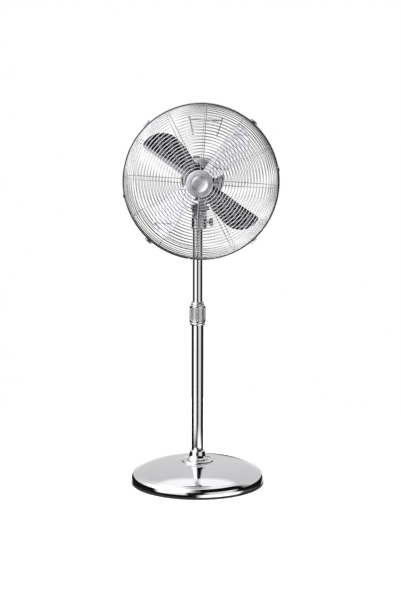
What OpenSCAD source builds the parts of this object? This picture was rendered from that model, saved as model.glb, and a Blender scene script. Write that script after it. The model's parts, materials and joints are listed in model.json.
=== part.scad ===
// Pedestal fan: round weighted base, telescopic pole, tilting and oscillating head.
// Origin: where the pole's axis meets the floor. +Z is up and the fan faces -Y.

/* [Base] */
// Radius of the base at the widest point of its lip
base_r = 191; // [188:1:200]
// Radius where the domed top meets the lip
dome_r = 180; // [170:1:180]
// Height of the dome's edge above the floor
dome_edge_z = 34; // [32:1:36]
// How far the dome's centre rises above its edge
dome_rise = 28.4; // [26:0.1:28.4]

/* [Poles] */
// Outside radius of the lower pole
lower_r = 17; // [16.8:0.1:17]
// Outside radius of the upper pole
upper_r = 13.6; // [13.4:0.1:13.6]
// Wall of both poles
pole_wall = 1.5; // [1.4:0.1:1.6]
// Height of the upper pole's bottom end
upper_bottom = 312; // [310:1:330]

/* [Neck] */
// Height of the tilt pivot
tilt_z = 795; // [795:1:796]
// Sideways place of the neck socket
neck_x = 4; // [3:0.5:4]

/* [Head] */
// Sideways place of the fan's own axis
head_x = 15; // [14.8:0.1:15.2]
// Height of the fan's own axis
head_z = 879; // [879:1:882]
// Radius of the motor covers
motor_r = 59; // [58:1:59]

/* [Guards] */
// Outside radius of the rim band
rim_r = 214; // [213.5:0.5:214.5]
// Thickness of the ring wires
wire = 2; // [1.8:0.1:2.2]
// Number of ribs in each guard
rib_count = 12; // [12]
// Turn of the first rib from the horizontal
rib_turn = -3.5; // [-4:0.5:-3]
// Spacing of the rings on the flat of each guard
ring_pitch = 8.36; // [8.3:0.02:8.36]

/* [Blades] */
// Pitch of each blade
blade_pitch = 24; // [20:1:26]
// Angle of the first blade's straight edge
blade_turn = 57; // [50:1:60]

/* [Hidden] */
$fn = 72;
run_gap = 0.05;          // radial clearance of a turning or sliding fit

// base
sheet = 1.5;             // sheet metal of the base cover
pan_z = 3.5;             // underside of the base pan, on the cover's turned-in edge
pan_t = 2.5;
pan_r = 183;
bolt_r = 4;
weight_r = 145;
weight_t = 9;
step_r = 60;             // low step round the middle of the dome
step_z = 63.2;
disc_r = 46;             // raised disc that carries the base collar
disc_z = 68;
collar_foot_r = 30;
base_collar_top = 94;

// height lock
lower_top = 478;
lock_z = 461;            // underside of the fixed ring below the height collar
lock_ring_t = 10;
lock_body_top = 517;
lock_top = 528;
flutes = 16;

// neck castings
socket_z = 737;
socket_top = 769;
socket_r = 21.25;
clamp_z = 756;           // height of the neck clamp screw
screw_r = 3;
housing_x = 5;
housing_r = 20.75;
housing_roof = 781;
housing_top = 786;
ear_r = 11;              // rounded tops of the tilt ears
dial_z = 778.5;
dial_x = 5.5;
dial_half_gap = 10.75;
dial_shaft_r = 3;
gland_z = 775;

// tilt bracket, swivel pin and link
tongue_t = 12;
tongue_r = 10.6;
swivel_z = 807;
swivel_t = 6.4;
swivel_r = 13.5;
pin_r = 6;
pin_top = 842;
post_x = 36;
post_y = 5.8;
post_r = 2.5;
link_z = 813.9;
link_t = 2.5;
clutch_x = -20;          // clutch and crank shaft, from the fan's axis
gear_y = 55;
crank_z = 819;
crank_throw = 10;
crank_turn = atan2(post_y - gear_y, post_x - head_x - clutch_x) + 90;    // crank pin at rest
link_lean = 3;           // turn of the link that shares out the play in its open eye
link_short = 1.5;        // and its shortening, for the same reason
eye_r = 6.7;

// motor, in depths in front of the swivel axis
shaft_r = 4;
boss_r = 12;
cover_t = 2;
motor_front = 58;
motor_joint = 12;
motor_back = -80;
stack = [14, 44];        // stator and rotor laminations

// guards and blades, in the same depths
rim_d = 135;
rim_half = 8;
rim_t = 1.5;
rim_wire = 4;
rim_lip = 5;             // how far the band's front edge is turned in
first_ring_r = 44;
flat_rings = 17;
shoulder_rings = 6;
shoulder_step = 11.5;    // degrees between the shoulder rings
shoulder_reach = 31.5;
front_d = 219;
front_drop = 8;
front_edge_d = 142;
rear_d = 62;
rear_edge_d = 128;
blade_d = 150;
blade_t = 1.4;
blade_root = 28;
clip_angles = [48.7, 133, 228.4, 312];
side_clip_angles = [9.7, 191];
handle_turn = 87;
handle_half = 15;
handle_rings = [10, 16]; // rings of the rear guard that its feet stand on
handle_d = 33;
handle_wire = 2.2;

function arc(cx, cy, rx, ry, a0, a1, n) =
    [for (i = [0:n]) let (a = a0 + (a1 - a0) * i / n) [cx + rx * cos(a), cy + ry * sin(a)]];
function dome_z(r) = dome_edge_z + dome_rise * (1 - pow(r / dome_r, 4));

module tube(r, inner, z0, z1) translate([0, 0, z0])
    rotate_extrude() translate([inner, 0]) square([r - inner, z1 - z0]);
module rod_x(r, x0, x1, z) translate([x0, 0, z]) rotate([0, 90, 0]) cylinder(r = r, h = x1 - x0);

// Head pieces are drawn in polar form about the fan's axis: r outwards, depth forwards.
module head() translate([head_x, 0, head_z]) children();
module turned() rotate([90, 0, 0]) rotate_extrude() children();
module disc(r, d0, d1, hole = 0) turned() translate([hole, d0]) square([r - hole, d1 - d0]);
module spoke(angle) rotate([0, -angle, 0]) children();
module forward_rod(r, d0, d1) rotate([90, 0, 0]) translate([0, 0, d0]) cylinder(r = r, h = d1 - d0);

// ---- base ----

module foot_ring() color("#202020") tube(176, 164, 0, pan_z);

module base_pan() color("#2a2a2a") tube(pan_r, bolt_r + 1, pan_z, pan_z + pan_t);

module base_weight() color("#4a4a4c") tube(weight_r, bolt_r + 1, pan_z + pan_t, pan_z + pan_t + weight_t);

// One sheet from the bolt hole over the disc, the step, the dome and the lip to the turned-in edge.
module base_cover() color("#d8d8dc") rotate_extrude() {
    steps = 12;
    edge_z = pan_z - sheet;
    dome = [for (i = [0:steps]) let (r = step_r + (dome_r - step_r) * i / steps) [r, dome_z(r)]];
    lip = arc(dome_r, 16, base_r - dome_r, dome_edge_z - 16, 80, 0, 6);
    roll = arc(base_r - 4, 16, 4, 16 - edge_z, -18, -90, 4);
    polygon(concat(
        [[bolt_r + 1, disc_z], [disc_r - 1.5, disc_z], [disc_r, disc_z - 1.5], [disc_r + 0.8, step_z],
            [step_r - 1.5, step_z]],
        dome, lip, roll,
        [[pan_r - 4, edge_z], [pan_r - 4, pan_z], [base_r - 4 - sheet, pan_z], [base_r - sheet, 16],
            [dome_r + 3, dome_edge_z - 3]],
        [for (i = [steps:-1:0]) dome[i] - [0.6, sheet]],
        [[disc_r - 1, step_z - sheet], [disc_r - 2, disc_z - sheet], [bolt_r + 1, disc_z - sheet]]));
}

module base_collar() color("#d8d8dc") rotate_extrude() {
    bore = lower_r + 0.02;
    flare = [for (i = [0:8]) let (a = 90 * i / 8)
        [28 - 5.5 * sin(a), disc_z + 5 + (base_collar_top - disc_z - 8) * (1 - cos(a))]];
    polygon(concat([[bore, disc_z], [collar_foot_r, disc_z], [collar_foot_r, disc_z + 2], [29, disc_z + 4]],
        flare, [[22, base_collar_top - 1], [20.5, base_collar_top], [bore, base_collar_top]]));
}

module base_bolt() color("#9a9aa0") {
    translate([0, 0, 0.5]) cylinder(r = 8, h = pan_z - 0.5, $fn = 6);
    translate([0, 0, pan_z - 0.1]) cylinder(r = bolt_r, h = 76);
}

module pole_plug() color("#8a8a8e") tube(lower_r - pole_wall, bolt_r + 0.02, disc_z, disc_z + 20);

// ---- poles and height lock ----

module lower_pole() color("#d8d8dc") tube(lower_r, lower_r - pole_wall, disc_z, lower_top);

module collet() color("#1c1c1c") difference() {
    bore = upper_r + run_gap;
    union() {
        tube(lower_r - pole_wall, bore, lower_top - 20, lower_top);
        tube(lower_r, bore, lower_top, lower_top + 5);
        tube(lower_r - 1, bore, lower_top + 5, lock_top - 14);
    }
    for (a = [0, 90]) rotate([0, 0, a])
        translate([-lower_r, -1, lower_top + 8]) cube([2 * lower_r, 2, lock_top]);
}

module lock_ring() color("#d8d8dc") rotate_extrude()
    polygon(concat([[lower_r + 0.02, lock_z]], arc(lower_r, lock_z + 5, 5.5, 5, -80, 60, 8),
        [[lower_r + 3, lock_z + lock_ring_t], [lower_r + 0.02, lock_z + lock_ring_t]]));

module height_collar() color("#b4b4b8") {
    z0 = lock_z + lock_ring_t + 0.3;
    difference() {
        union() {
            translate([0, 0, z0]) cylinder(r1 = 23.2, r2 = 22.6, h = lock_body_top - z0);
            translate([0, 0, lock_body_top]) cylinder(r = 17.5, h = lock_top - lock_body_top);
            translate([0, 0, lock_body_top + 2]) rotate_extrude() polygon(arc(17, 4, 1.6, 4, -90, 90, 6));
        }
        translate([0, 0, z0 - 1]) cylinder(r = lower_r + run_gap, h = lower_top + 7 - z0);
        translate([0, 0, z0 - 1]) cylinder(r = lower_r - 0.6, h = lock_top - 12 - z0);
        translate([0, 0, z0 - 1]) cylinder(r = upper_r + 0.4, h = 100);
        for (i = [0:flutes - 1]) rotate([0, 0, i * 360 / flutes])
            translate([24.4, 0, z0 + 3]) cylinder(r = 2.2, h = lock_body_top - z0 - 6);
    }
}

module guide_bush() color("#1c1c1c") {
    tube(lower_r - pole_wall - run_gap, 9, upper_bottom - 8, upper_bottom);
    tube(upper_r - pole_wall, 9, upper_bottom - 1, upper_bottom + 15);
}

module upper_pole() color("#d8d8dc") tube(upper_r, upper_r - pole_wall, upper_bottom, socket_top - 4);

// ---- neck ----

module neck_socket() color("#c4c4c8") difference() {
    union() {
        translate([neck_x, 0, socket_z]) cylinder(r = socket_r, h = socket_top - socket_z);
        translate([neck_x, 0, socket_z]) cylinder(r = socket_r + 1.2, h = 5);
        rod_x(7.5, 18, neck_x + socket_r + 2.5, clamp_z);
    }
    translate([0, 0, socket_z - 1]) cylinder(r = upper_r + 0.02, h = socket_top - socket_z - 3);
    rod_x(screw_r + run_gap, 10, 40, clamp_z);
}

module ears() intersection() {
    union() {
        rod_x(ear_r, housing_x - 30, housing_x + 30, tilt_z);
        translate([housing_x - 30, -ear_r, housing_top - 0.1]) cube([60, 2 * ear_r, tilt_z - housing_top]);
    }
    translate([housing_x, 0, housing_top - 0.1]) cylinder(r = housing_r, h = 40);
}

module control_housing() color("#c4c4c8") difference() {
    union() {
        translate([housing_x, 0, socket_top]) cylinder(r = housing_r, h = housing_top - socket_top);
        for (s = [-1, 1]) translate([dial_x + s * dial_half_gap, 0, dial_z]) forward_rod(9.4, 14, 23);
        ears();
    }
    translate([housing_x, 0, socket_top - 1]) cylinder(r = housing_r - 3, h = housing_roof - socket_top + 1);
    for (s = [-1, 1]) translate([dial_x + s * dial_half_gap, 0, dial_z])
        forward_rod(dial_shaft_r + run_gap, 10, 30);
    translate([housing_x, 0, gland_z]) forward_rod(4, -40, -10);
    translate([head_x - tongue_t / 2 - 0.4, -40, housing_top - 3]) cube([tongue_t + 0.8, 80, 60]);
    rod_x(bolt_r + 0.01, -40, 60, tilt_z);
}

module speed_switch() color("#303030") translate([-7.5, -11.6, housing_roof - 11]) cube([9.5, 18, 11]);

module timer_unit() color("#303030") translate([8.5, -11.6, housing_roof - 11]) cube([9.5, 18, 11]);

module cord_gland() color("#181818") translate([housing_x, 0, gland_z]) rotate([-90, 0, 0]) rotate_extrude()
    polygon([[2.2, 17], [3.98, 17], [3.98, 20.8], [6, 20.8], [6, 23], [4.6, 30], [2.2, 30]]);

module tilt_bolt() color("#9a9aa0") {
    rod_x(bolt_r, housing_x - housing_r - 1, 31, tilt_z);
    rod_x(6, housing_x - housing_r - 2.2, housing_x - housing_r, tilt_z);
}

module neck_screw() color("#9a9aa0") rod_x(screw_r, upper_r + 0.3, 33, clamp_z);

module neck_knob() color("#141414") difference() {
    union() {
        rod_x(11.3, 34, 43.5, clamp_z);
        rod_x(6.5, 31, 34.5, clamp_z);
    }
    rod_x(screw_r, 30, 33, clamp_z);
    for (i = [0:11]) translate([0, 0, clamp_z]) rotate([i * 30 + 15, 0, 0]) rod_x(1.8, 33, 45, 12.3);
}

module dial(x) translate([x, 0, dial_z]) difference() {
    union() {
        translate([0, -23.5, 0]) rotate([90, 0, 0]) cylinder(r1 = 9.3, r2 = 8.4, h = 7.5);
        forward_rod(dial_shaft_r, 12, 24);
    }
    for (i = [0:15]) spoke(i * 22.5) translate([10.1, 0, 0]) forward_rod(1.3, 24.5, 32);
    translate([-0.5, -32, 2]) cube([1, 1.8, 6]);
}

module speed_dial() color("#e2e2e4") dial(dial_x - dial_half_gap);

module timer_dial() color("#e2e2e4") dial(dial_x + dial_half_gap);

module tilt_knob() color("#141414") difference() {
    rod_x(6, housing_x + housing_r + 0.4, 33, tilt_z);
    rod_x(bolt_r + run_gap, 20, 31.3, tilt_z);
    for (i = [0:7]) translate([0, 0, tilt_z]) rotate([i * 45, 0, 0]) rod_x(1.1, 20, 40, 6.6);
}

// ---- tilting bracket ----

module tilt_bracket() color("#b4b4b8") difference() {
    union() {
        rod_x(tongue_r, head_x - tongue_t / 2, head_x + tongue_t / 2, tilt_z);
        translate([head_x - tongue_t / 2, -8, tilt_z]) cube([tongue_t, 16, swivel_z - tilt_z + 1]);
        translate([head_x, 0, swivel_z]) cylinder(r = swivel_r, h = swivel_t);
        translate([head_x, post_y - 4, swivel_z + 1]) cube([post_x - head_x, 8, 4]);
        translate([post_x, post_y, swivel_z + 1]) cylinder(r = 5, h = 4);
    }
    rod_x(bolt_r + run_gap, -10, 50, tilt_z);
    translate([head_x, 0, swivel_z - 2]) cylinder(r = pin_r, h = 20);
}

module swivel_pin() color("#9a9aa0") translate([head_x, 0, swivel_z - 2])
    cylinder(r = pin_r, h = pin_top - swivel_z + 2);

module link_post() color("#9a9aa0") translate([post_x, post_y, swivel_z + 5]) {
    cylinder(r = post_r, h = 5);
    translate([0, 0, 5]) cylinder(r = 4.5, h = 1.5);
}

// ---- motor ----

module motor_front_cover() color("#3a3a3e") head() turned() {
    corner = motor_r - 13;
    polygon(concat([[7, stack[1]], [7, motor_front + 16], [boss_r, motor_front + 16],
            [boss_r, motor_front + 3], [24, motor_front + 3], [24, motor_front]],
        arc(corner, motor_front - 13, 13, 13, 90, 0, 6),
        [[motor_r, motor_joint], [motor_r - cover_t, motor_joint]],
        arc(corner, motor_front - 13, 13 - cover_t, 13 - cover_t, 0, 90, 6),
        [[boss_r, motor_front - cover_t], [boss_r - 2, stack[1] + 1], [boss_r - 2, stack[1]]]));
}

module motor_rear_cover() color("#3a3a3e") head() difference() {
    turned() {
        shell = [[motor_r, motor_joint], [motor_r, -10]];
        polygon(concat(shell, arc(motor_r - 24, -10, 24, 26, -10, -50, 4), [[40, -58]],
            arc(30, -68, 10, 12, 0, -90, 5), [[0, motor_back], [0, motor_back + cover_t]],
            arc(30, -68, 10 - cover_t, 12 - cover_t, -90, 0, 5), [[40 - cover_t, -58]],
            arc(motor_r - 24, -10, 24 - cover_t, 26 - cover_t, -50, -10, 4),
            [[motor_r - cover_t, -10], [motor_r - cover_t, motor_joint]]));
    }
    translate([clutch_x, gear_y, -70]) cylinder(r = 5, h = 140);
    translate([0, 0, -70]) cylinder(r = pin_r + 2, h = 30);
}

module gearbox_case() color("#6a6a6c") head() difference() {
    union() {
        translate([-36.4, 38.5, -8]) cube([46.4, 33, 16]);
        translate([clutch_x, gear_y, -26]) cylinder(r = 6, h = 19);
        forward_rod(11, -39, -31);
        rotate([90, 0, -90]) translate([0, 0, -9]) linear_extrude(height = 18)
            polygon([[9.5, -54], [-12, -54], [-30, -40], [-46, -31], [-46, -7], [-38.5, -7], [-38.5, -24],
                [-12, -40], [9.5, -40]]);
    }
    translate([-35, 40, -6.5]) cube([43.5, 30, 13]);
    forward_rod(8, -38.5, -30);
    forward_rod(shaft_r + 1, -41, -30);
    translate([clutch_x, gear_y, -80]) cylinder(r = 3 + run_gap, h = 160);
    translate([0, 0, -70]) cylinder(r = pin_r + run_gap, h = pin_top - head_z + 70.5);
}

module stator_core() color("#77787a") head() difference() {
    disc(47, stack[0], stack[1], hole = 25.5);
    for (i = [0:7]) spoke(i * 45 + 22.5) translate([36, 0, 0]) forward_rod(5, stack[0] - 1, stack[1] + 1);
}

module motor_windings() color("#b5682a") head() {
    disc(43, stack[1], stack[1] + 9, hole = 29);
    disc(39, stack[0] - 8, stack[0], hole = 29);
}

module front_bearing() color("#a8803c") head()
    disc(7, stack[1] + 1, motor_front, hole = shaft_r + run_gap);

module rear_bearing() color("#a8803c") head() disc(8, -38.5, -31, hole = shaft_r + run_gap);

module capacitor() color("#202428") head() translate([14, 14, -20]) cube([16, 20, 34]);

module cover_screws() color("#9a9aa0") head() for (i = [0:3]) spoke(45 + 90 * i)
    translate([40, 0, 0]) forward_rod(3, motor_front, motor_front + 2.2);

// ---- guards ----

// A guard's profile as [radius, depth, lean]: flat rings from the middle, then a rounded shoulder.
function profile(middle_d, drop, edge_d, side) = concat(
    [for (i = [0:flat_rings - 1]) [first_ring_r + ring_pitch * i,
        middle_d - side * drop * pow(i / (flat_rings - 1), 2), 0]],
    [for (k = [1:shoulder_rings]) let (a = 2 + shoulder_step * k)
        [first_ring_r + ring_pitch * (flat_rings - 1) + shoulder_reach * sin(a),
            edge_d + (middle_d - side * drop - edge_d) * cos(a), a]]);

module ring(r, d) turned() translate([r - wire / 2, d - wire / 2]) square(wire);

// Ribs are strips set on edge. Their outer edges run through the rings' centres.
module guard_ribs(points, side) {
    w = wire + 0.4;
    last = len(points) - 1;
    outline = concat([for (p = points) [p[0], -p[1]]],
        [for (i = [last:-1:0]) let (p = points[i]) [p[0] - w * sin(p[2]), -p[1] + side * w * cos(p[2])]]);
    for (i = [0:rib_count - 1]) spoke(i * 360 / rib_count + rib_turn)
        linear_extrude(height = w, center = true) polygon(outline);
}

module guard(middle_d, drop, edge_d, side) {
    rings = profile(middle_d, drop, edge_d, side);
    for (p = rings) ring(p[0], p[1]);
    guard_ribs(concat([[34, middle_d, 0]], rings, [[rim_r - rim_lip - 0.7, rim_d + side * 7.5, 90],
        [rim_r - rim_t - 0.5, rim_d + side * 3.5, 90]]), side);
    turned() translate([rim_r - rim_t - rim_wire, side > 0 ? rim_d : rim_d - rim_wire]) square(rim_wire);
}

module rear_guard() color("#dcdce0") head() {
    guard(rear_d, 0, rear_edge_d, -1);
    disc(36, rear_d - 1, rear_d + 1, hole = boss_r + 0.1);
}

module guard_nut() color("#202022") head() difference() {
    disc(30, rear_d + 3.5, rear_d + 11, hole = boss_r + 0.05);
    for (i = [0:11]) spoke(30 * i) translate([31.5, 0, 0]) forward_rod(3, rear_d, rear_d + 12);
}

module front_guard() color("#e4e4e8") head() {
    guard(front_d, front_drop, front_edge_d, 1);
    disc(36, front_d - 4, front_d - 2);
}

module hub_badge() color("#c9c9d2") head() {
    disc(6, front_d - 2, front_d + 1);
    turned() polygon(concat([[0, front_d + 0.3], [0, 222.5]], arc(0, 226.5, 21, 4, -85, -10, 5), [[23, 226]],
        arc(30, 221, 6.75, 4.5, 70, 0, 5), [[36.75, front_d + 0.3]]));
}

// The band is split at one side, and carries a hinge for each clip.
module rim_band() color("#f0f0f2") head() difference() {
    union() {
        disc(rim_r, rim_d - rim_half, rim_d + rim_half, hole = rim_r - rim_t);
        disc(rim_r, rim_d + rim_half - 0.5, rim_d + rim_half + 1.5, hole = rim_r - rim_lip);
        for (a = clip_angles) spoke(a) {
            for (z = [-11.4, 9.4]) translate([rim_r - 1, -rim_d - rim_half - 3, z]) cube([6, 6, 2]);
            translate([rim_r + 3.2, -rim_d - rim_half - 1, -10]) cylinder(r = 0.95, h = 20);
        }
    }
    spoke(261.3) translate([rim_r - 10, -rim_d - 20, -1.2]) cube([20, 40, 2.4]);
}

// Two bent wire legs standing on rings of the rear guard, and a grip across them.
module carry_handle() color("#dcdce0") head() {
    feet = [for (i = handle_rings) first_ring_r + ring_pitch * i];
    grip = feet[1] - 8;
    foot_y = 1 - rear_d;
    w = 2 * handle_wire;
    for (s = [-1, 1]) spoke(handle_turn + s * handle_half) linear_extrude(height = w, center = true)
        polygon([[feet[0] - w / 2, foot_y], [feet[0] - w / 2, -handle_d - 6],
            [feet[0] + 5, -handle_d + w / 2], [feet[1] - 5, -handle_d + w / 2],
            [feet[1] + w / 2, -handle_d - 6], [feet[1] + w / 2, foot_y],
            [feet[1] - w / 2, foot_y], [feet[1] - w / 2, -handle_d - 7], [feet[1] - 7, -handle_d - w / 2],
            [feet[0] + 7, -handle_d - w / 2], [feet[0] + w / 2, -handle_d - 7], [feet[0] + w / 2, foot_y]]);
    spoke(handle_turn) translate([grip * cos(handle_half), -handle_d, -grip * sin(handle_half)])
        cylinder(r = handle_wire - 0.4, h = 2 * grip * sin(handle_half));
}

module side_clips() color("#d0d0d0") head() for (a = side_clip_angles) spoke(a)
    translate([rim_r, -rim_d - 5, -6]) cube([2.5, 10, 12]);

module clip(i) color("#c8c8cc") head() spoke(clip_angles[i]) difference() {
    union() {
        translate([rim_r + 0.4, -rim_d - rim_half - 1, -9]) cube([2.4, 2 * rim_half + 4, 18]);
        translate([rim_r + 3.2, -rim_d - rim_half - 1, -9]) cylinder(r = 2.6, h = 18);
        translate([rim_r - 3, -rim_d + rim_half + 0.8, -9]) cube([8, 2.2, 18]);
    }
    translate([rim_r + 3.2, -rim_d - rim_half - 1, -20]) cylinder(r = 1, h = 40);
}

module clip_1() clip(0);
module clip_2() clip(1);
module clip_3() clip(2);
module clip_4() clip(3);

// ---- what turns on the motor shaft ----

module motor_shaft() color("#9a9aa0") head() {
    disc(shaft_r, -68, blade_d + 22);
    for (i = [0:5]) disc(5, -66 + 4 * i, -64 + 4 * i);
}

module rotor() color("#8c8c90") head() disc(25, stack[0] + 1, stack[1] - 1, hole = shaft_r);

module at_blade(i) head() spoke(blade_turn + 90 * i) translate([0, -blade_d, 0])
    rotate([blade_pitch, 0, 0]) children();

module blade_hub() color("#303032") difference() {
    union() {
        head() disc(22, blade_d - 18, blade_d + 16);
        for (i = [0:3]) at_blade(i) translate([12, blade_t / 2, -28]) cube([50, 2, 24]);
    }
    head() disc(shaft_r, blade_d - 30, blade_d + 30);
    head() disc(17, blade_d - 19, blade_d - 6, hole = 9);
}

module blade(i) color("#d0d2d6") at_blade(i) {
    wide = 1 / cos(blade_pitch);
    translate([0, blade_t / 2, 0]) rotate([90, 0, 0]) linear_extrude(height = blade_t)
        polygon(concat([[blade_root, 15], [182, 7]], arc(129, -4 * wide, 58, 58 * wide, 5, -95, 12),
            [[57, -42 * wide], [blade_root, -28 * wide]]));
}

module blade_1() blade(0);
module blade_2() blade(1);
module blade_3() blade(2);
module blade_4() blade(3);

module blade_rivets() color("#b8b8bc") for (i = [0:3]) at_blade(i)
    for (p = [[36, -10], [36, -22], [54, -10], [54, -22]]) translate([p[0], 0, p[1]])
        forward_rod(2.6, blade_t / 2, blade_t / 2 + 1.2);

module spinner_nut() color("#202022") head() turned()
    polygon(concat([[shaft_r, blade_d + 16], [20, blade_d + 16]], arc(0, blade_d + 26, 20, 14, 0, 90, 8),
        [[0, blade_d + 23], [shaft_r, blade_d + 23]]));

// ---- oscillation drive ----

module clutch_knob() color("#101012") head() translate([clutch_x, gear_y, 0]) {
    translate([0, 0, -8]) cylinder(r = 3, h = 60);
    translate([0, 0, 48]) cylinder(r = 10.8, h = 11);
}

module worm_wheel() color("#e8e4d4") head() translate([clutch_x, gear_y, 0]) difference() {
    teeth = 40;
    union() {
        translate([0, 0, -5]) cylinder(r = 13.4, h = 10);
        for (i = [0:teeth - 1]) rotate([0, 0, i * 360 / teeth])
            translate([13, -0.45, -4]) cube([1.5, 0.9, 8]);
    }
    translate([0, 0, -6]) cylinder(r = 3 + run_gap, h = 12);
}

module at_crank() translate([head_x + clutch_x, gear_y, crank_z]) rotate([0, 0, crank_turn]) children();

module crank_disc() color("#9a9aa0") at_crank() {
    cylinder(r = crank_throw + 4, h = 3);
    cylinder(r = 3, h = 44);
    translate([crank_throw, 0, -5.6]) cylinder(r = post_r, h = 6);
}

module link_bar() color("#9a9aa0") {
    x0 = head_x + clutch_x + crank_throw * cos(crank_turn);
    y0 = gear_y + crank_throw * sin(crank_turn);
    length = norm([post_x - x0, post_y - y0]) - link_short;
    translate([x0, y0, link_z]) rotate([0, 0, atan2(post_y - y0, post_x - x0) + link_lean]) difference() {
        union() {
            cylinder(r = 5.5, h = link_t);
            translate([0, -3, 0]) cube([length - eye_r - 1, 6, link_t]);
            translate([length, 0, 0]) cylinder(r = eye_r + 2.8, h = link_t);
        }
        translate([0, 0, -1]) cylinder(r = post_r + run_gap, h = 5);
        translate([length, 0, -1]) cylinder(r = eye_r, h = 5);
    }
}

foot_ring();
base_pan();
base_weight();
base_cover();
base_collar();
base_bolt();
pole_plug();
lower_pole();
collet();
lock_ring();
height_collar();
guide_bush();
upper_pole();
neck_socket();
control_housing();
speed_switch();
timer_unit();
cord_gland();
tilt_bolt();
neck_screw();
neck_knob();
speed_dial();
timer_dial();
tilt_knob();
tilt_bracket();
swivel_pin();
link_post();
motor_front_cover();
motor_rear_cover();
stator_core();
motor_windings();
front_bearing();
rear_bearing();
gearbox_case();
capacitor();
cover_screws();
rear_guard();
guard_nut();
front_guard();
hub_badge();
rim_band();
carry_handle();
side_clips();
clip_1();
clip_2();
clip_3();
clip_4();
motor_shaft();
rotor();
blade_hub();
blade_1();
blade_2();
blade_3();
blade_4();
blade_rivets();
spinner_nut();
clutch_knob();
worm_wheel();
crank_disc();
link_bar();
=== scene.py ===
import json
import math

import bmesh
import bpy
from mathutils import Matrix, Vector


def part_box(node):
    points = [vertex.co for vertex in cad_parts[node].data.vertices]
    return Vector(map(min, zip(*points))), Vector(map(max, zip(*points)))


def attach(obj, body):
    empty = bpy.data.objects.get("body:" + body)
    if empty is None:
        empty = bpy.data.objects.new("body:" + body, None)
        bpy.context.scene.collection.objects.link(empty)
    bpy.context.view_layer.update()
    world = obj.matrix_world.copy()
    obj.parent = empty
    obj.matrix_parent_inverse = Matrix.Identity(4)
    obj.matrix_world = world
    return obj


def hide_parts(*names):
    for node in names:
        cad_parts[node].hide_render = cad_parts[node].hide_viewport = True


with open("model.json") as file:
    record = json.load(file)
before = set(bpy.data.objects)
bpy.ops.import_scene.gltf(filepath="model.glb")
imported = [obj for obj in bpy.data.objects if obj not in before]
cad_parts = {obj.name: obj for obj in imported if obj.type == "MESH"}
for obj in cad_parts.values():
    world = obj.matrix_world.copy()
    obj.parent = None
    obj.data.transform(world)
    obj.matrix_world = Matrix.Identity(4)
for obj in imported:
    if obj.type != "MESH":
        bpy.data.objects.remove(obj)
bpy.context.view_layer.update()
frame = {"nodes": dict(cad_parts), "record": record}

MM = 0.001
TAU = 2 * math.pi
record, nodes = frame["record"], frame["nodes"]


def middle(node):
    low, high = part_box(node)
    return (low + high) / 2


HX, HZ = middle("motor_shaft").x, middle("motor_shaft").z       # the fan's axis


# ---- camera ----

def make_camera():
    azimuth, pitch, roll = math.radians(2.482), math.radians(8.535), math.radians(-0.103)
    distance, height, aside = 4.2242, 1.1653, 0.0083
    right = Vector((math.cos(azimuth), math.sin(azimuth), 0))
    ahead = Vector((-math.sin(azimuth), math.cos(azimuth), 0))
    look = ahead * math.cos(pitch) - Vector((0, 0, math.sin(pitch)))
    data = bpy.data.cameras.new("camera")
    data.lens, data.sensor_width, data.clip_end = 89.9, 36, 60
    cam = bpy.data.objects.new("camera", data)
    bpy.context.scene.collection.objects.link(cam)
    up = right.cross(look)
    turned = Matrix.Rotation(roll, 3, look)
    x, y, z = turned @ right, turned @ up, -look
    m = Matrix((x, y, z)).transposed().to_4x4()
    m.translation = -ahead * distance + right * aside + Vector((0, 0, height))
    cam.matrix_world = m
    bpy.context.scene.camera = cam


make_camera()


# ---- mesh helpers, in millimetres ----

def upright(p):
    """What is drawn about the pole's axis is in the row frame already."""
    return p


def add(name, verts, faces, body, slot, replaces=(), smooth=35, to_world=upright):
    """Makes one visible piece. Edges sharper than `smooth` degrees stay sharp."""
    mesh = bpy.data.meshes.new(name)
    mesh.from_pydata([Vector(to_world(v)) * MM for v in verts], [], faces)
    mesh.validate()
    obj = bpy.data.objects.new(name, mesh)
    bpy.context.scene.collection.objects.link(obj)
    bm = bmesh.new()
    bm.from_mesh(mesh)
    bmesh.ops.recalc_face_normals(bm, faces=bm.faces)
    limit = math.radians(smooth)
    for f in bm.faces:
        f.smooth = True
    for e in bm.edges:
        e.smooth = len(e.link_faces) == 2 and e.calc_face_angle(0) < limit
    bm.to_mesh(mesh)
    bm.free()
    mesh.materials.append(M[slot])
    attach(obj, body)
    if replaces:
        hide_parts(*replaces)
    return obj


def head(p):
    """(x, height, depth in front of the swivel) about the fan's axis, to the row frame."""
    return (HX / MM + p[0], -p[2], HZ / MM + p[1])


def polar(angle):
    """(out, depth, counter-clockwise) on the radius at that angle, to the row frame."""
    c, s = math.cos(math.radians(angle)), math.sin(math.radians(angle))
    return lambda p: head((p[0] * c - p[2] * s, p[0] * s + p[2] * c, p[1]))


def along_x(z):
    """An axis across the neck at that height, to the row frame."""
    return lambda p: (p[2], p[0], z + p[1])


def along_front(x, z):
    """An axis that points to the front, to the row frame."""
    return lambda p: (x + p[0], -p[2], z + p[1])


def fillet(points, radius, closed=True, n=3):
    """Rounds a profile's corners."""
    out, m = [], len(points)
    for i, b in enumerate(points):
        if not closed and i in (0, m - 1):
            out.append(b)
            continue
        a, c = Vector(points[i - 1]), Vector(points[(i + 1) % m])
        b = Vector(b)
        u, v = a - b, c - b
        if u.length < 1e-6 or v.length < 1e-6:
            continue
        turn = math.degrees(u.angle(v))
        reach = min(radius, u.length * 0.42, v.length * 0.42)
        if turn > 165 or reach < 0.03 or b.x < 0.01:
            out.append(tuple(b))
            continue
        p, q = b + u.normalized() * reach, b + v.normalized() * reach
        for k in range(n + 1):
            t = k / n
            out.append(tuple(p * (1 - t) ** 2 + b * 2 * t * (1 - t) + q * t * t))
    return out


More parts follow.
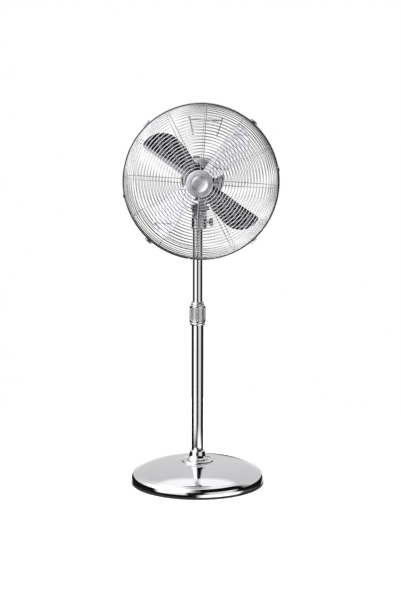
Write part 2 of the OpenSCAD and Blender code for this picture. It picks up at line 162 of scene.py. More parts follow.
def lathe(name, profile, body, slot, to_world, replaces=(), segments=96, soft=0.5,
          shape=None, smooth=35, arc=None):
    """Turns a closed profile of (radius, height). `soft` rounds its corners, and
    shape(angle, r, h) may vary the radius."""
    prof = fillet(profile, soft) if soft else list(profile)
    m = len(prof)
    start, end = arc or (0, 360)
    rows = segments if arc is None else segments + 1
    verts = []
    for i in range(rows):
        a = math.radians(start + (end - start) * i / segments)
        for r, h in prof:
            q = max(r, 0.02) if shape is None else max(shape(a, r, h), 0.02)
            verts.append((q * math.cos(a), q * math.sin(a), h))
    faces = []
    for i in range(segments):
        j = (i + 1) % rows
        for k in range(m):
            l = (k + 1) % m
            faces.append((i * m + k, j * m + k, j * m + l, i * m + l))
    if arc is not None:
        faces.append(tuple(range(m)))
        faces.append(tuple((rows - 1) * m + k for k in reversed(range(m))))
    return add(name, verts, faces, body, slot, replaces, smooth, to_world)


def tube_mesh(paths, sides=8):
    """Round wires. paths holds (points, radius, closed)."""
    verts, faces = [], []
    for points, radius, closed in paths:
        pts = [Vector(p) for p in points]
        n, base = len(pts), len(verts)
        normal = None
        for i, p in enumerate(pts):
            before = pts[i - 1] if i or closed else p
            after = pts[(i + 1) % n] if i < n - 1 or closed else p
            t = (after - before).normalized()
            if normal is None:
                normal = t.orthogonal().normalized()
            normal = (normal - t * normal.dot(t)).normalized()
            other = t.cross(normal)
            for k in range(sides):
                a = TAU * k / sides
                verts.append(tuple(p + (normal * math.cos(a) + other * math.sin(a)) * radius))
        for i in range(n if closed else n - 1):
            j = (i + 1) % n
            for k in range(sides):
                l = (k + 1) % sides
                faces.append((base + i * sides + k, base + j * sides + k, base + j * sides + l,
                              base + i * sides + l))
        if not closed:
            faces.append(tuple(base + k for k in reversed(range(sides))))
            faces.append(tuple(base + (n - 1) * sides + k for k in range(sides)))
    return verts, faces


def circle(r, d, n=120):
    return [head((r * math.cos(TAU * i / n), r * math.sin(TAU * i / n), d)) for i in range(n)]


def rounded_path(points, radius, n=6):
    out = [Vector(points[0])]
    for a, b, c in zip(points, points[1:], points[2:]):
        a, b, c = Vector(a), Vector(b), Vector(c)
        u, v = a - b, c - b
        reach = min(radius, u.length * 0.45, v.length * 0.45)
        p, q = b + u.normalized() * reach, b + v.normalized() * reach
        for k in range(n + 1):
            t = k / n
            out.append(p * (1 - t) ** 2 + b * 2 * t * (1 - t) + q * t * t)
    out.append(Vector(points[-1]))
    return out


# ---- materials ----

def material(name, color, metallic, rough, spread, grain, tint, bump=0.0, bump_scale=600.0,
             coat=0.0):
    """spread and tint vary the roughness and the colour along a noise of that grain."""
    mat = bpy.data.materials.new(name)
    mat.use_nodes = True
    tree = mat.node_tree
    new, link = tree.nodes.new, tree.links.new
    bsdf = tree.nodes["Principled BSDF"]
    bsdf.inputs["Metallic"].default_value = metallic
    bsdf.inputs["Coat Weight"].default_value = coat
    bsdf.inputs["Coat Roughness"].default_value = 0.06
    coords, mapping = new("ShaderNodeTexCoord"), new("ShaderNodeMapping")
    mapping.inputs["Scale"].default_value = grain
    link(coords.outputs["Object"], mapping.inputs["Vector"])
    noise = new("ShaderNodeTexNoise")
    noise.inputs["Scale"].default_value = 1.0
    noise.inputs["Detail"].default_value = 3
    link(mapping.outputs["Vector"], noise.inputs["Vector"])
    ramp = new("ShaderNodeMapRange")
    ramp.inputs["From Min"].default_value, ramp.inputs["From Max"].default_value = 0.3, 0.7
    ramp.inputs["To Min"].default_value = max(0.01, rough - spread)
    ramp.inputs["To Max"].default_value = rough + spread
    link(noise.outputs["Fac"], ramp.inputs["Value"])
    link(ramp.outputs["Result"], bsdf.inputs["Roughness"])
    colours = new("ShaderNodeValToRGB")
    colours.color_ramp.elements[0].position, colours.color_ramp.elements[1].position = 0.3, 0.7
    colours.color_ramp.elements[0].color = (*[c * (1 - tint) for c in color], 1)
    colours.color_ramp.elements[1].color = (*[min(1, c * (1 + tint)) for c in color], 1)
    link(noise.outputs["Fac"], colours.inputs["Fac"])
    link(colours.outputs["Color"], bsdf.inputs["Base Color"])
    if bump:
        fine, b = new("ShaderNodeTexNoise"), new("ShaderNodeBump")
        fine.inputs["Scale"].default_value = bump_scale
        fine.inputs["Detail"].default_value = 4
        b.inputs["Strength"].default_value = bump
        b.inputs["Distance"].default_value = 0.0002
        link(coords.outputs["Object"], fine.inputs["Vector"])
        link(fine.outputs["Fac"], b.inputs["Height"])
        link(b.outputs["Normal"], bsdf.inputs["Normal"])
    return mat


LOOKS = {
    "chrome": dict(color=(0.80, 0.80, 0.82), metallic=1, rough=0.05, spread=0.025,
                   grain=(25, 25, 8), tint=0.02),
    "chrome_wire": dict(color=(0.80, 0.80, 0.82), metallic=1, rough=0.12, spread=0.03,
                        grain=(60, 60, 60), tint=0.05),
    "satin_metal": dict(color=(0.72, 0.72, 0.74), metallic=1, rough=0.17, spread=0.05,
                        grain=(300, 300, 25), tint=0.06, bump=0.10),
    "cast_metal": dict(color=(0.76, 0.76, 0.78), metallic=1, rough=0.12, spread=0.04,
                       grain=(90, 90, 90), tint=0.05, bump=0.08, bump_scale=900),
    "badge": dict(color=(0.80, 0.80, 0.85), metallic=1, rough=0.42, spread=0.06,
                  grain=(60, 8, 60), tint=0.04, bump=0.10, bump_scale=1500),
    "blade": dict(color=(0.56, 0.56, 0.59), metallic=1, rough=0.07, spread=0.02,
                  grain=(30, 120, 30), tint=0.04, bump=0.05, bump_scale=500),
    "steel": dict(color=(0.50, 0.51, 0.53), metallic=1, rough=0.28, spread=0.08,
                  grain=(150, 150, 150), tint=0.07, bump=0.12),
    "iron": dict(color=(0.09, 0.09, 0.10), metallic=0.7, rough=0.62, spread=0.10,
                 grain=(60, 60, 60), tint=0.20, bump=0.60, bump_scale=300),
    "black": dict(color=(0.022, 0.022, 0.024), metallic=0, rough=0.48, spread=0.07,
                  grain=(80, 80, 80), tint=0.15, bump=0.30, bump_scale=1800),
    "gloss_black": dict(color=(0.012, 0.012, 0.013), metallic=0, rough=0.20, spread=0.05,
                        grain=(60, 60, 60), tint=0.15, bump=0.06, bump_scale=900, coat=0.5),
    "nylon": dict(color=(0.80, 0.77, 0.68), metallic=0, rough=0.42, spread=0.06,
                  grain=(90, 90, 90), tint=0.04, bump=0.08),
    "rubber": dict(color=(0.018, 0.018, 0.018), metallic=0, rough=0.78, spread=0.08,
                   grain=(100, 100, 100), tint=0.25, bump=0.50, bump_scale=1500),
    "motor": dict(color=(0.66, 0.66, 0.68), metallic=1, rough=0.13, spread=0.04,
                  grain=(70, 70, 70), tint=0.05, bump=0.06, bump_scale=1200),
    "bronze": dict(color=(0.50, 0.34, 0.16), metallic=1, rough=0.42, spread=0.08,
                   grain=(200, 200, 200), tint=0.12, bump=0.30),
    "copper": dict(color=(0.62, 0.27, 0.11), metallic=1, rough=0.30, spread=0.08,
                   grain=(200, 900, 200), tint=0.20, bump=0.50, bump_scale=1400),
    "dial": dict(color=(0.74, 0.74, 0.77), metallic=1, rough=0.24, spread=0.05,
                 grain=(120, 120, 120), tint=0.04, bump=0.06),
}
M = {name: material(name, **look) for name, look in LOOKS.items()}
for part in record["subparts"]:
    node = nodes[part["node"]]
    node.data.materials.clear()
    node.data.materials.append(M[part["material_slot"]])


# ---- base and poles ----

DOME_R, DOME_TOP_R = 180, 60                # the dome's outer edge, and the raised disc on it
DOME_EDGE_Z, DOME_RISE = 34, 28.4


def dome(r):
    return DOME_EDGE_Z + DOME_RISE * (1 - (r / DOME_R) ** 4)


def arc_points(cx, cy, rx, ry, a0, a1, n):
    return [(cx + rx * math.cos(math.radians(a0 + (a1 - a0) * i / n)),
             cy + ry * math.sin(math.radians(a0 + (a1 - a0) * i / n))) for i in range(n + 1)]


def base_profile():
    top = [(5, 68), (44.3, 68), (45.6, 67.4), (46, 66.2), (46.4, 64), (47.2, 63.3), (57.6, 63.2),
           (59.2, 62.9), (60.2, 62.1)]
    width = DOME_R - DOME_TOP_R
    slope = [(DOME_TOP_R + width * i / 40, dome(DOME_TOP_R + width * i / 40))
             for i in range(1, 41)]
    seam = [(180.6, 33.1), (181.3, 33.2), (182.4, 33.7)]
    lip = arc_points(180, 16, 11, 18, 74, 0, 14)
    roll = arc_points(187, 16, 4, 14, -10, -90, 7)
    top_side = top + slope + seam + lip + roll
    inside = [(179, 2), (179, 3.4), (185.4, 3.5), (189.2, 16), (183, 30.8)]
    under = [(DOME_TOP_R + width * i / 12 - 0.6, dome(DOME_TOP_R + width * i / 12) - 1.6)
             for i in range(12, -1, -1)]
    return top_side + inside + under + [(45, 61.8), (44, 66.4), (5, 66.4)]


lathe("base_cover_skin", base_profile(), "stand", "chrome", upright, ("base_cover",),
      segments=160, soft=0)
# A black ring tucked under the lip's bottom edge: painted contact shade, a dark piece put where the
# base meets the glowing floor, which shows no shadow there.
contact_shade_ring = [(186, 0.4), (190, 0.4), (190.8, 1.4), (190.8, 5.6), (190.2, 6.6), (188.6, 6.2),
          (186, 2.2)]
lathe("base_contact_shade_ring", contact_shade_ring, "stand", "rubber", upright, segments=160, soft=0.2)
flare = []
for i in range(11):
    a = math.radians(9 * i)
    flare.append((28 - 5.5 * math.sin(a), 73 + 18 * (1 - math.cos(a))))
collar = [(17.02, 68), (29.6, 68), (30, 68.5), (30, 70), (29, 72)] + flare
collar += [(22.3, 91.6), (22.3, 93.2), (21.4, 94), (17.02, 94)]
lathe("base_collar_skin", collar, "stand", "chrome", upright, ("base_collar",), soft=0)
POLE_WALL = 1.5
for node, body in (("lower_pole", "stand"), ("upper_pole", "extension")):
    lo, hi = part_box(node)
    r, foot, top = (hi[0] - lo[0]) * 500, lo[2] * 1000, hi[2] * 1000
    pole = [(r - POLE_WALL, foot), (r, foot), (r, top), (r - POLE_WALL, top)]
    lathe(node + "_skin", pole, body, "chrome", upright, (node,), segments=192, soft=0.2)
ring = [(17.02, 461)] + arc_points(17.2, 466, 5.3, 4.9, -70, 58, 12) + [(19.6, 471), (17.02, 471)]
lathe("lock_ring_skin", ring, "stand", "chrome", upright, ("lock_ring",), soft=0.2)


def fluted(count, depth, lo, hi, outer):
    """Rounded grooves between two heights, on what lies outside a radius."""
    def shape(a, r, h):
        if r < outer:
            return r
        edge = min(1, max(0, (h - lo) / 2.5)) * min(1, max(0, (hi - h) / 2.5))
        wave = max(0, math.cos(a * count)) ** 1.6
        return r - depth * wave * edge
    return shape


grip_steps = 22
grip = [(23.2 - 0.6 * i / grip_steps, 471.4 + 45.2 * i / grip_steps)
        for i in range(grip_steps + 1)]
grip = [(17.15, 471.4)] + grip + [(21.8, 517.1), (17.9, 517.3), (17.6, 518.4)]
grip += arc_points(17, 521.5, 1.6, 3.2, -70, 70, 8)
grip += [(17.4, 525), (17.2, 527.6), (16.6, 528), (14.1, 528), (14.1, 516), (17.15, 484)]
lathe("height_collar_skin", grip, "collar", "satin_metal", upright, ("height_collar",),
      segments=240, soft=0, shape=fluted(24, 1.5, 475, 513, 21), smooth=50)

# ---- neck ----

CLAMP_Z, DIALS_Z, TILT_Z = 756, 778.5, 795  # heights of the clamp knob, the dials and the tilt bolt
SOCKET_ASIDE = 4                            # how far the socket's wall is off the pole's axis


def off_axis(p):
    """Moves the socket's wall aside, and leaves its bore on the pole's axis."""
    share = min(1, max(0, (math.hypot(p[0], p[1]) - 13.7) / 6))
    return (p[0] + SOCKET_ASIDE * share, p[1], p[2])


socket = [(13.62, 737), (21.6, 737), (22.4, 737.9), (22.4, 741), (21.3, 742.2), (21.2, 768.4),
          (20.6, 769), (0.1, 769), (0.1, 765.4), (13.62, 765.2)]
lathe("neck_socket_skin", socket, "extension", "cast_metal", off_axis, ("neck_socket",), soft=0.3)
boss = [(3.1, 22), (7.6, 22), (7.6, 26.6), (6.8, 27.6), (3.1, 27.6)]
lathe("neck_boss", boss, "extension", "cast_metal", along_x(CLAMP_Z), segments=48, soft=0.4)
knob = [(0.1, 31), (6.4, 31), (6.6, 33.6), (9.9, 34.1), (11.1, 35.2), (11.3, 38), (11.1, 41.6),
        (10.2, 43.0), (8.6, 43.5), (5.5, 43.1), (4.6, 42.3), (0.1, 42.1)]
lathe("neck_knob_skin", knob, "neck_clamp", "gloss_black", along_x(CLAMP_Z), ("neck_knob",),
      segments=144, soft=0.25, shape=fluted(12, 1.1, 33.5, 44, 9), smooth=40)
dial = [(0.1, 12), (3, 12), (3, 23.4), (9.1, 23.5), (9.3, 24.2), (9.1, 27), (8.7, 29.6),
        (8.1, 30.7), (7.2, 31), (6.4, 30.7), (6.0, 30.2), (0.1, 30.0)]
pointer = [(-0.5, 2, 30), (0.5, 2, 30), (0.35, 5.8, 30), (-0.35, 5.8, 30), (-0.35, 2.2, 30.8),
           (0.35, 2.2, 30.8), (0.2, 5.5, 30.8), (-0.2, 5.5, 30.8)]
BOX_FACES = [(0, 1, 2, 3), (4, 5, 6, 7), (0, 1, 5, 4), (1, 2, 6, 5), (2, 3, 7, 6), (3, 0, 4, 7)]
for body, node, x in (("speed_control", "speed_dial", -5.25),
                      ("timer_control", "timer_dial", 16.25)):
    lathe(node + "_skin", dial, body, "dial", along_front(x, DIALS_Z), (node,), segments=144,
          soft=0.15, shape=fluted(24, 0.45, 24.5, 32, 7.8), smooth=40)
    add(node + "_pointer", pointer, BOX_FACES, body, "gloss_black", (), 30,
        along_front(x, DIALS_Z))
knob = [(4.06, 26.2), (5.6, 26.2), (6, 26.8), (6, 32.2), (5.4, 32.8), (4, 33), (0.1, 33),
        (0.1, 31.4), (4.06, 31.3)]
lathe("tilt_knob_skin", knob, "tilt_clamp", "gloss_black", along_x(TILT_Z), ("tilt_knob",),
      soft=0.15, shape=fluted(8, 0.6, 26.6, 33, 5.2), smooth=40)

# ---- motor ----

front = [(7, 44), (7, 74), (11.6, 74), (12, 73.6), (12, 61.6), (13, 61), (23.4, 61), (24, 60.4),
         (24.6, 58.2)] + arc_points(46, 45, 13, 13, 88, 0, 10)
front += [(59, 17), (58.2, 16.4), (58.2, 14.6), (59, 14), (59, 12.2), (57, 12), (57, 44)]
front += arc_points(46, 45, 11, 11, 5, 88, 6) + [(12, 56), (10, 45), (10, 44)]
lathe("motor_front_skin", front, "head", "motor", head, ("motor_front_cover",), segments=120,
      soft=0)

VENTS, VENT_DEPTH = 30, 1.1
VENT_FROM, VENT_TO = -56, -6                # depths, measured to the front of the swivel


def vents(a, r, h):
    """Grooves between the cooling fins, round the back of the rear cover."""
    if r < 30 or h < VENT_FROM or h > VENT_TO:
        return r
    edge = min(1, (h - VENT_FROM) / 5) * min(1, (VENT_TO - h) / 5)
    return r - VENT_DEPTH * edge * (0.5 + 0.5 * math.cos(a * VENTS)) ** 2


rear = [(59, 11.8), (59, 5), (58.3, 4.4), (58.3, 3), (59, 2.4), (59, -6)]
rear += arc_points(35, -10, 24, 26, -4, -48, 11)
rear += [(47.4, -38), (45.0, -43), (42.6, -50), (40.6, -56), (40, -60)]
rear += arc_points(30, -68, 10, 12, 0, -88, 10)
rear += [(22, -79.6), (21, -78.8), (1, -78.6), (0.1, -78.6), (0.1, -77), (29, -77)]
rear += arc_points(30, -68, 8, 9.5, -84, 0, 6)
rear += [(38, -58), (48, -30), (56.9, -8), (57, 11.8)]
lathe("motor_rear_skin", rear, "head", "motor", head, ("motor_rear_cover",), segments=240, soft=0,
      shape=vents, smooth=45)


def on_clutch(p):
    """The clutch's axis is upright, behind the swivel and to the left of it."""
    return (HX / MM - 20 + p[0], 55 + p[1], HZ / MM + p[2])


knob = [(0.1, -8), (3, -8), (3, 48), (9.6, 48.2), (10.7, 49.4), (10.8, 52), (10.6, 56.6),
        (9.8, 58.4), (8.2, 59), (0.1, 59)]
lathe("clutch_knob_skin", knob, "clutch", "gloss_black", on_clutch, ("clutch_knob",),
      segments=120, soft=0.2, shape=fluted(18, 0.5, 48.6, 58.5, 9.9), smooth=40)

# ---- guards ----

FLAT = [44 + 8.36 * i for i in range(17)]   # radii of the rings on a guard's face
WIRE_R, RIB_R, EDGE_R = 0.85, 1.1, 1.9
SHOULDER_REACH = 31.5                       # how far the rings of the shoulder go on outwards
RIBS, FIRST_RIB = 12, -3.5
RIM_D = 135                                 # middle of the rim band, in front of the swivel


def guard_profile(middle_d, drop, edge_d, side):
    """(radius, depth) of each ring. side is 1 for the front guard and -1 for the rear one."""
    pts = [(r, middle_d - side * drop * (i / 16) ** 2) for i, r in enumerate(FLAT)]
    top = middle_d - side * drop
    for k in range(1, 7):
        a = math.radians(2 + 11.5 * k)
        pts.append((FLAT[-1] + SHOULDER_REACH * math.sin(a), edge_d + (top - edge_d) * math.cos(a)))
    return pts


def guard(name, node, middle_d, drop, edge_d, side):
    pts = guard_profile(middle_d, drop, edge_d, side)
    paths = [(circle(r, d), WIRE_R, True) for r, d in pts]
    under = -side * 1.7                     # ribs pass inside the rings and touch them
    for i in range(RIBS):
        spot = polar(FIRST_RIB + 360 / RIBS * i)
        line = [(33, middle_d - side * 3, 0)] + [(r, d + under, 0) for r, d in pts[:17]]
        line += [(r - 1.2, d + under * 0.7, 0) for r, d in pts[17:]]
        line += [(206.8, RIM_D + side * 7.5, 0), (210.2, RIM_D + side * 3.2, 0)]
        smooth = rounded_path([Vector(p) for p in line], 4, 2)
        paths.append(([Vector(spot(p)) for p in smooth], RIB_R, False))
    paths.append((circle(210.4, RIM_D + side * 2, 160), EDGE_R, True))
    verts, faces = tube_mesh(paths)
    add(name, verts, faces, "head", "chrome_wire", (node,), 60)


guard("front_guard_wires", "front_guard", 219, 8, 142, 1)
guard("rear_guard_wires", "rear_guard", 62, 0, 128, -1)
plate = [(0.1, 215.2), (34, 215.2), (36, 215.6), (36, 216.8), (34.5, 217.2), (0.1, 217)]
lathe("front_plate", plate, "head", "chrome_wire", head, soft=0.2)
plate = [(12.1, 61), (34, 61), (35.8, 62), (36, 64.4), (34.8, 64.8), (33.6, 63), (14, 63),
         (12.1, 63)]
lathe("rear_plate", plate, "head", "chrome_wire", head, soft=0.2)
nut = [(12.05, 65.5), (28.8, 65.5), (30, 66.4), (30, 71.6), (28.6, 73), (20, 73), (18.6, 71.8),
       (12.05, 71.8)]
lathe("guard_nut_skin", nut, "head", "black", head, ("guard_nut",), segments=144, soft=0.3,
      shape=fluted(12, 1.6, 65.5, 73.2, 26), smooth=40)
badge = [(0.1, 217.2), (0.1, 222.6)] + arc_points(0, 226.5, 21, 4, -86, -16, 10)
badge += [(21.2, 225.8), (22.0, 225.95), (28, 225.6), (33, 224.9)]
badge += arc_points(34.2, 222.4, 2.5, 2.4, 80, 0, 8)
badge += [(36.75, 219.2), (36.2, 218.3), (34.6, 217.3)]
lathe("hub_badge_skin", badge, "head", "badge", head, ("hub_badge",), segments=144, soft=0)

# the rim band is split where its ends meet, and its front edge is turned in
band = [(212.5, 127.4), (213.3, 127), (214, 127.6), (214, 129.4), (213.5, 130.2), (213.5, 139.8),
        (214, 140.6), (214, 143.6), (213.4, 144.4), (209.5, 144.5), (209, 144), (209.1, 143.1),
        (209.7, 142.7), (212.5, 142.6)]
lathe("rim_band_skin", band, "head", "chrome", head, ("rim_band",), segments=240, soft=0.15,
      smooth=40, arc=(261.7, 620.9))

CLIPS, SIDE_CLIPS = (48.7, 133, 228.4, 312), (9.7, 191)      # angles round the rim
CLIP_R, CLIP_D = 217.2, 144                 # the lever clips' pivot


def strap(name, points, thick, half, body, to_world, replaces=()):
    """A bent strip: a path of (out, depth), given a thickness and a width with eased ends."""
    pts = [Vector((p[0], p[1])) for p in points]
    verts, faces = [], []
    rows = [(-half, 0.55), (-half + 0.5, 1), (half - 0.5, 1), (half, 0.55)]
    for i, p in enumerate(pts):
        t = (pts[min(i + 1, len(pts) - 1)] - pts[max(i - 1, 0)]).normalized()
        n = Vector((-t.y, t.x)) * thick / 2
        for w, k in rows:
            verts.append((p.x + n.x * k, p.y + n.y * k, w))
        for w, k in reversed(rows):
            verts.append((p.x - n.x * k, p.y - n.y * k, w))
    m = 2 * len(rows)
    for i in range(len(pts) - 1):
        for k in range(m):
            l = (k + 1) % m
            faces.append((i * m + k, (i + 1) * m + k, (i + 1) * m + l, i * m + l))
    faces += [tuple(range(m)), tuple((len(pts) - 1) * m + k for k in reversed(range(m)))]
    return add(name, verts, faces, body, "chrome", replaces, 40, to_world)


for i, angle in enumerate(CLIPS):
    spot, lever = polar(angle), f"clip_{i + 1}_lever"
    hook = arc_points(CLIP_R, CLIP_D, 1.9, 1.9, -60, 180, 12)
    hook += [(215.5, 141), (215.4, 134), (215.6, 128), (215.0, 126.2), (213.6, 125.5),
             (211.6, 125.6)]
    strap(lever + "_skin", hook, 1.0, 9, lever, spot, (f"clip_{i + 1}",))
    tab = [(216.0, 128.6), (217.6, 127.2), (219.0, 125.4), (219.5, 124.4)]
    strap(f"clip_{i + 1}_tab", tab, 0.9, 6, lever, spot)
    pin = [Vector(spot((CLIP_R, CLIP_D, z))) for z in (-11.4, -9, 0, 9, 11.4)]
    verts, faces = tube_mesh([(pin, 0.95, False)], 12)
    add(f"clip_{i + 1}_pin", verts, faces, "head", "steel", (), 50)
    lug = [(213.6, 140.4), (214.8, 142.6), (216.6, 144.6), (218.4, 145)]
    for k, z in enumerate((-10.4, 10.4)):
        strap(f"clip_{i + 1}_lug_{k}", lug, 1.0, 1, "head",
              lambda p, spot=spot, z=z: spot((p[0], p[1], p[2] + z)))
for i, angle in enumerate(SIDE_CLIPS):
    hook = [(211.6, 145.1), (213.8, 145.3), (215.2, 144.2), (215.6, 139), (215.6, 131),
            (215, 126.8), (213.6, 125.8), (212.2, 126.1)]
    strap(f"side_clip_{i}", hook, 0.9, 6, "head", polar(angle), ("side_clips",) if i == 0 else ())

# rear handle: two bent legs and a grip
HANDLE_ANGLE, HANDLE_HALF, HANDLE_D = 87, 15, 33
paths = []
for s in (-1, 1):
    spot = polar(HANDLE_ANGLE + s * HANDLE_HALF)
    near, far = FLAT[10], FLAT[16]
    leg = rounded_path([(near, 61.4, 0), (near, HANDLE_D, 0), (far, HANDLE_D, 0), (far, 61.4, 0)],
                       7, 8)
    paths.append(([Vector(spot(p)) for p in leg], 2.2, False))
spot = polar(HANDLE_ANGLE)
grip_r, half = FLAT[16] - 8, math.radians(HANDLE_HALF)
bar = [(grip_r * math.cos(half), HANDLE_D, grip_r * math.sin(half) * t)
       for t in (-1, -0.6, -0.2, 0.2, 0.6, 1)]
paths.append(([Vector(spot(p)) for p in bar], 2.0, False))
verts, faces = tube_mesh(paths, 14)
add("carry_handle_wires", verts, faces, "head", "chrome_wire", ("carry_handle",), 60)

# ---- blades ----

PITCH = math.radians(24)
WIDE = 1 / math.cos(PITCH)                  # a width seen from the front, along the chord
ROOT_R, TIP_R, BLADE_D = 28, 187, 150
FIRST_BLADE = 57                            # its angle
CAMBER, FOLD_RISE, HALF_SHEET = 1.2, 0.22, 0.7


def blade_edges(r):
    """The straight edge and the curved edge of a blade, as chord positions."""
    upper = 15 - 8 * (r - ROOT_R) / 154
    cut = max(0, 1 - ((r - 129) / 58) ** 2)
    if r > 182:
        upper = -4 * WIDE + (7 + 4 * WIDE) * max(0, (TIP_R - r) / 5) ** 0.5
    if r > 124:
        lower = -4 * WIDE - 58 * WIDE * math.sqrt(cut)
    elif r > 57:
        t = (r - 57) / 67
        lower = -42 * WIDE + t * (-62 + 42) * WIDE - 2.5 * math.sin(math.pi * t)
    else:
        lower = -28 * WIDE + (r - ROOT_R) / 29 * (-42 + 28) * WIDE
    return upper, lower


def blade(i):
    across, along = 22, 44
    verts, faces = [], []
    radii = [ROOT_R + (TIP_R - ROOT_R) * (1 - (1 - k / along) ** 1.45) for k in range(along + 1)]
    radii[-1] = TIP_R - 0.1                 # the two edges would meet at the tip itself
    spot = polar(FIRST_BLADE + 90 * i)
    for side in (HALF_SHEET, -HALF_SHEET):
        for r in radii:
            upper, lower = blade_edges(r)
            fold = 8 + 10 * (TIP_R - r) / (TIP_R - ROOT_R)
            for k in range(across + 1):
                c = upper + (lower - upper) * k / across
                v = k / across
                lift = CAMBER * math.sin(math.pi * v) * min(1, (r - ROOT_R) / 40)
                bend = max(0.0, c - (upper - fold)) * FOLD_RISE
                y = -lift + bend + side
                depth = BLADE_D + (y * math.cos(PITCH) + c * math.sin(PITCH))
                verts.append((r, depth, c * math.cos(PITCH) - y * math.sin(PITCH)))
    w, layer = across + 1, (along + 1) * (across + 1)
    for a in range(along):
        for k in range(across):
            q = (a * w + k, a * w + k + 1, (a + 1) * w + k + 1, (a + 1) * w + k)
            faces += [q, tuple(layer + v for v in reversed(q))]
    rim = list(range(w)) + [a * w + across for a in range(1, along + 1)]
    rim += [along * w + k for k in range(across - 1, -1, -1)]
    rim += [a * w for a in range(along - 1, 0, -1)]
    for a, b in zip(rim, rim[1:] + rim[:1]):
        faces.append((a, b, b + layer, a + layer))
    add(f"blade_{i + 1}_sheet", verts, faces, "spin", "blade", (f"blade_{i + 1}",), 30, spot)


for i in range(4):
    blade(i)
spinner = [(4, 166), (19.6, 166), (20, 166.6)] + arc_points(0, 176, 20, 14, 0, 88, 11)
spinner += [(0.1, 190), (0.1, 173), (4, 173)]
lathe("spinner_skin", spinner, "spin", "gloss_black", head, ("spinner_nut",), soft=0)


# ---- studio ----

FLOOR_R, FLOOR_SIDES, FLOOR_GLOW = 1.15, 128, 0.42


def floor():
    turns = [TAU * i / FLOOR_SIDES for i in range(FLOOR_SIDES)]
    mesh = bpy.data.meshes.new("floor")
    mesh.from_pydata([(FLOOR_R * math.cos(a), FLOOR_R * math.sin(a), 0) for a in turns], [],
                     [tuple(range(FLOOR_SIDES))])
    obj = bpy.data.objects.new("floor", mesh)
    bpy.context.scene.collection.objects.link(obj)
    mat = material("floor", color=(0.90, 0.90, 0.90), metallic=0, rough=0.9, spread=0.03,
                   grain=(2, 2, 2), tint=0.005)
    bsdf = mat.node_tree.nodes["Principled BSDF"]
    bsdf.inputs["Emission Color"].default_value = (1, 1, 1, 1)
    bsdf.inputs["Emission Strength"].default_value = FLOOR_GLOW
    mesh.materials.append(mat)
    obj.visible_glossy = False


def softbox(name, place, aim, size, power):
    """A square lamp that reflections don't show."""
    data = bpy.data.lights.new(name, "AREA")
    data.shape, data.size, data.energy = "SQUARE", size, power
    obj = bpy.data.objects.new(name, data)
    bpy.context.scene.collection.objects.link(obj)
    obj.location = place
    obj.rotation_euler = (Vector(aim) - Vector(place)).to_track_quat("-Z", "Y").to_euler()
    obj.visible_glossy = False


# Brightness of the room round the object, as (share of a turn, value). 0 is in front of the fan,
# then it goes round by the viewer's left (0.25), behind (0.5) and the right (0.75). LOW is what is
# seen downwards, LEVEL about level, and HIGH above that. A bright ceiling is over it, with a dark
# middle.
LEVEL = [(0, 0.01), (0.036, 0.01), (0.055, 1.1), (0.175, 1.3), (0.19, 1.1), (0.215, 0.005),
         (0.43, 0.01), (0.445, 0.95), (0.488, 0.95), (0.5, 0.1), (0.512, 0.9), (0.555, 0.9),
         (0.57, 0.01), (0.785, 0.005), (0.805, 0.55), (0.83, 0.95), (0.93, 0.75), (0.965, 0.01),
         (1, 0.01)]
HIGH = [(0, 0.2), (0.03, 1.0), (0.08, 2.2), (0.2, 2.0), (0.3, 0.9), (0.4, 0.68), (0.5, 0.72),
        (0.6, 0.68), (0.7, 0.75), (0.745, 0.3), (0.765, 0.005), (0.97, 0.005), (1, 0.2)]
LOW = [(0, 0.02), (0.03, 0.005), (0.235, 0.005), (0.26, 0.02), (0.5, 0.02), (0.74, 0.1),
       (0.77, 1.6), (0.86, 1.7), (0.96, 1.6), (1, 0.02)]
CEILING, CEILING_MIDDLE = 1.15, 0.02


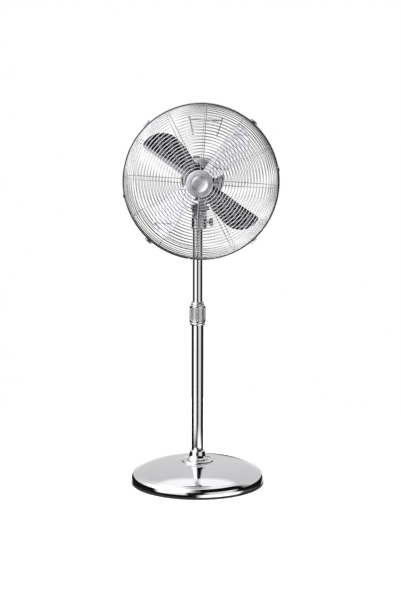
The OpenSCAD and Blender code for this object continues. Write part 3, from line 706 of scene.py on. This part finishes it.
def studio():
    world = bpy.data.worlds.new("studio")
    bpy.context.scene.world = world
    world.use_nodes = True
    tree = world.node_tree
    new, link = tree.nodes.new, tree.links.new
    tree.nodes.clear()
    out, mix = new("ShaderNodeOutputWorld"), new("ShaderNodeMixShader")
    path = new("ShaderNodeLightPath")
    seen, lit = new("ShaderNodeBackground"), new("ShaderNodeBackground")
    seen.inputs["Color"].default_value, seen.inputs["Strength"].default_value = (1, 1, 1, 1), 1.0
    coords, split = new("ShaderNodeTexCoord"), new("ShaderNodeSeparateXYZ")
    angle = new("ShaderNodeMath")
    angle.operation = "ARCTAN2"
    link(coords.outputs["Generated"], split.inputs["Vector"])
    link(split.outputs["X"], angle.inputs[0])
    link(split.outputs["Y"], angle.inputs[1])
    turn = new("ShaderNodeMapRange")
    turn.inputs["From Min"].default_value, turn.inputs["From Max"].default_value = -math.pi, math.pi
    link(angle.outputs["Value"], turn.inputs["Value"])

    def bands(values):
        ramp = new("ShaderNodeValToRGB")
        stops = ramp.color_ramp.elements
        stops[0].color, stops[1].color = [(v, v, v, 1) for _, v in (values[0], values[-1])]
        for place, v in values[1:-1]:
            stops.new(place).color = (v, v, v, 1)
        link(turn.outputs["Result"], ramp.inputs["Fac"])
        return ramp.outputs["Color"]

    def grey(value):
        node = new("ShaderNodeRGB")
        node.outputs[0].default_value = (value, value, value, 1)
        return node.outputs[0]

    def between(low_deg, high_deg, below, above):
        """Blends one brightness into the next between two angles above level."""
        share, blend = new("ShaderNodeMapRange"), new("ShaderNodeMix")
        share.interpolation_type, blend.data_type = "SMOOTHSTEP", "RGBA"
        share.inputs["From Min"].default_value = math.sin(math.radians(low_deg))
        share.inputs["From Max"].default_value = math.sin(math.radians(high_deg))
        link(split.outputs["Z"], share.inputs["Value"])
        link(share.outputs["Result"], blend.inputs["Factor"])
        link(below, blend.inputs["A"])
        link(above, blend.inputs["B"])
        return blend.outputs["Result"]

    room = between(75, 79, grey(CEILING), grey(CEILING_MIDDLE))
    room = between(49, 58, bands(HIGH), room)
    room = between(1, 6, bands(LEVEL), room)
    room = between(-24, -18, bands(LOW), room)
    link(room, lit.inputs["Color"])
    link(path.outputs["Is Camera Ray"], mix.inputs["Fac"])
    link(lit.outputs["Background"], mix.inputs[1])
    link(seen.outputs["Background"], mix.inputs[2])
    link(mix.outputs["Shader"], out.inputs["Surface"])
    softbox("key", (-2.0, -2.6, 3.0), (0, 0, 0.7), 1.6, 45)
    softbox("top", (0, 0.2, 3.6), (0, 0, 0.2), 2.6, 50)
    bpy.context.scene.view_settings.view_transform = "Standard"


floor()
studio()
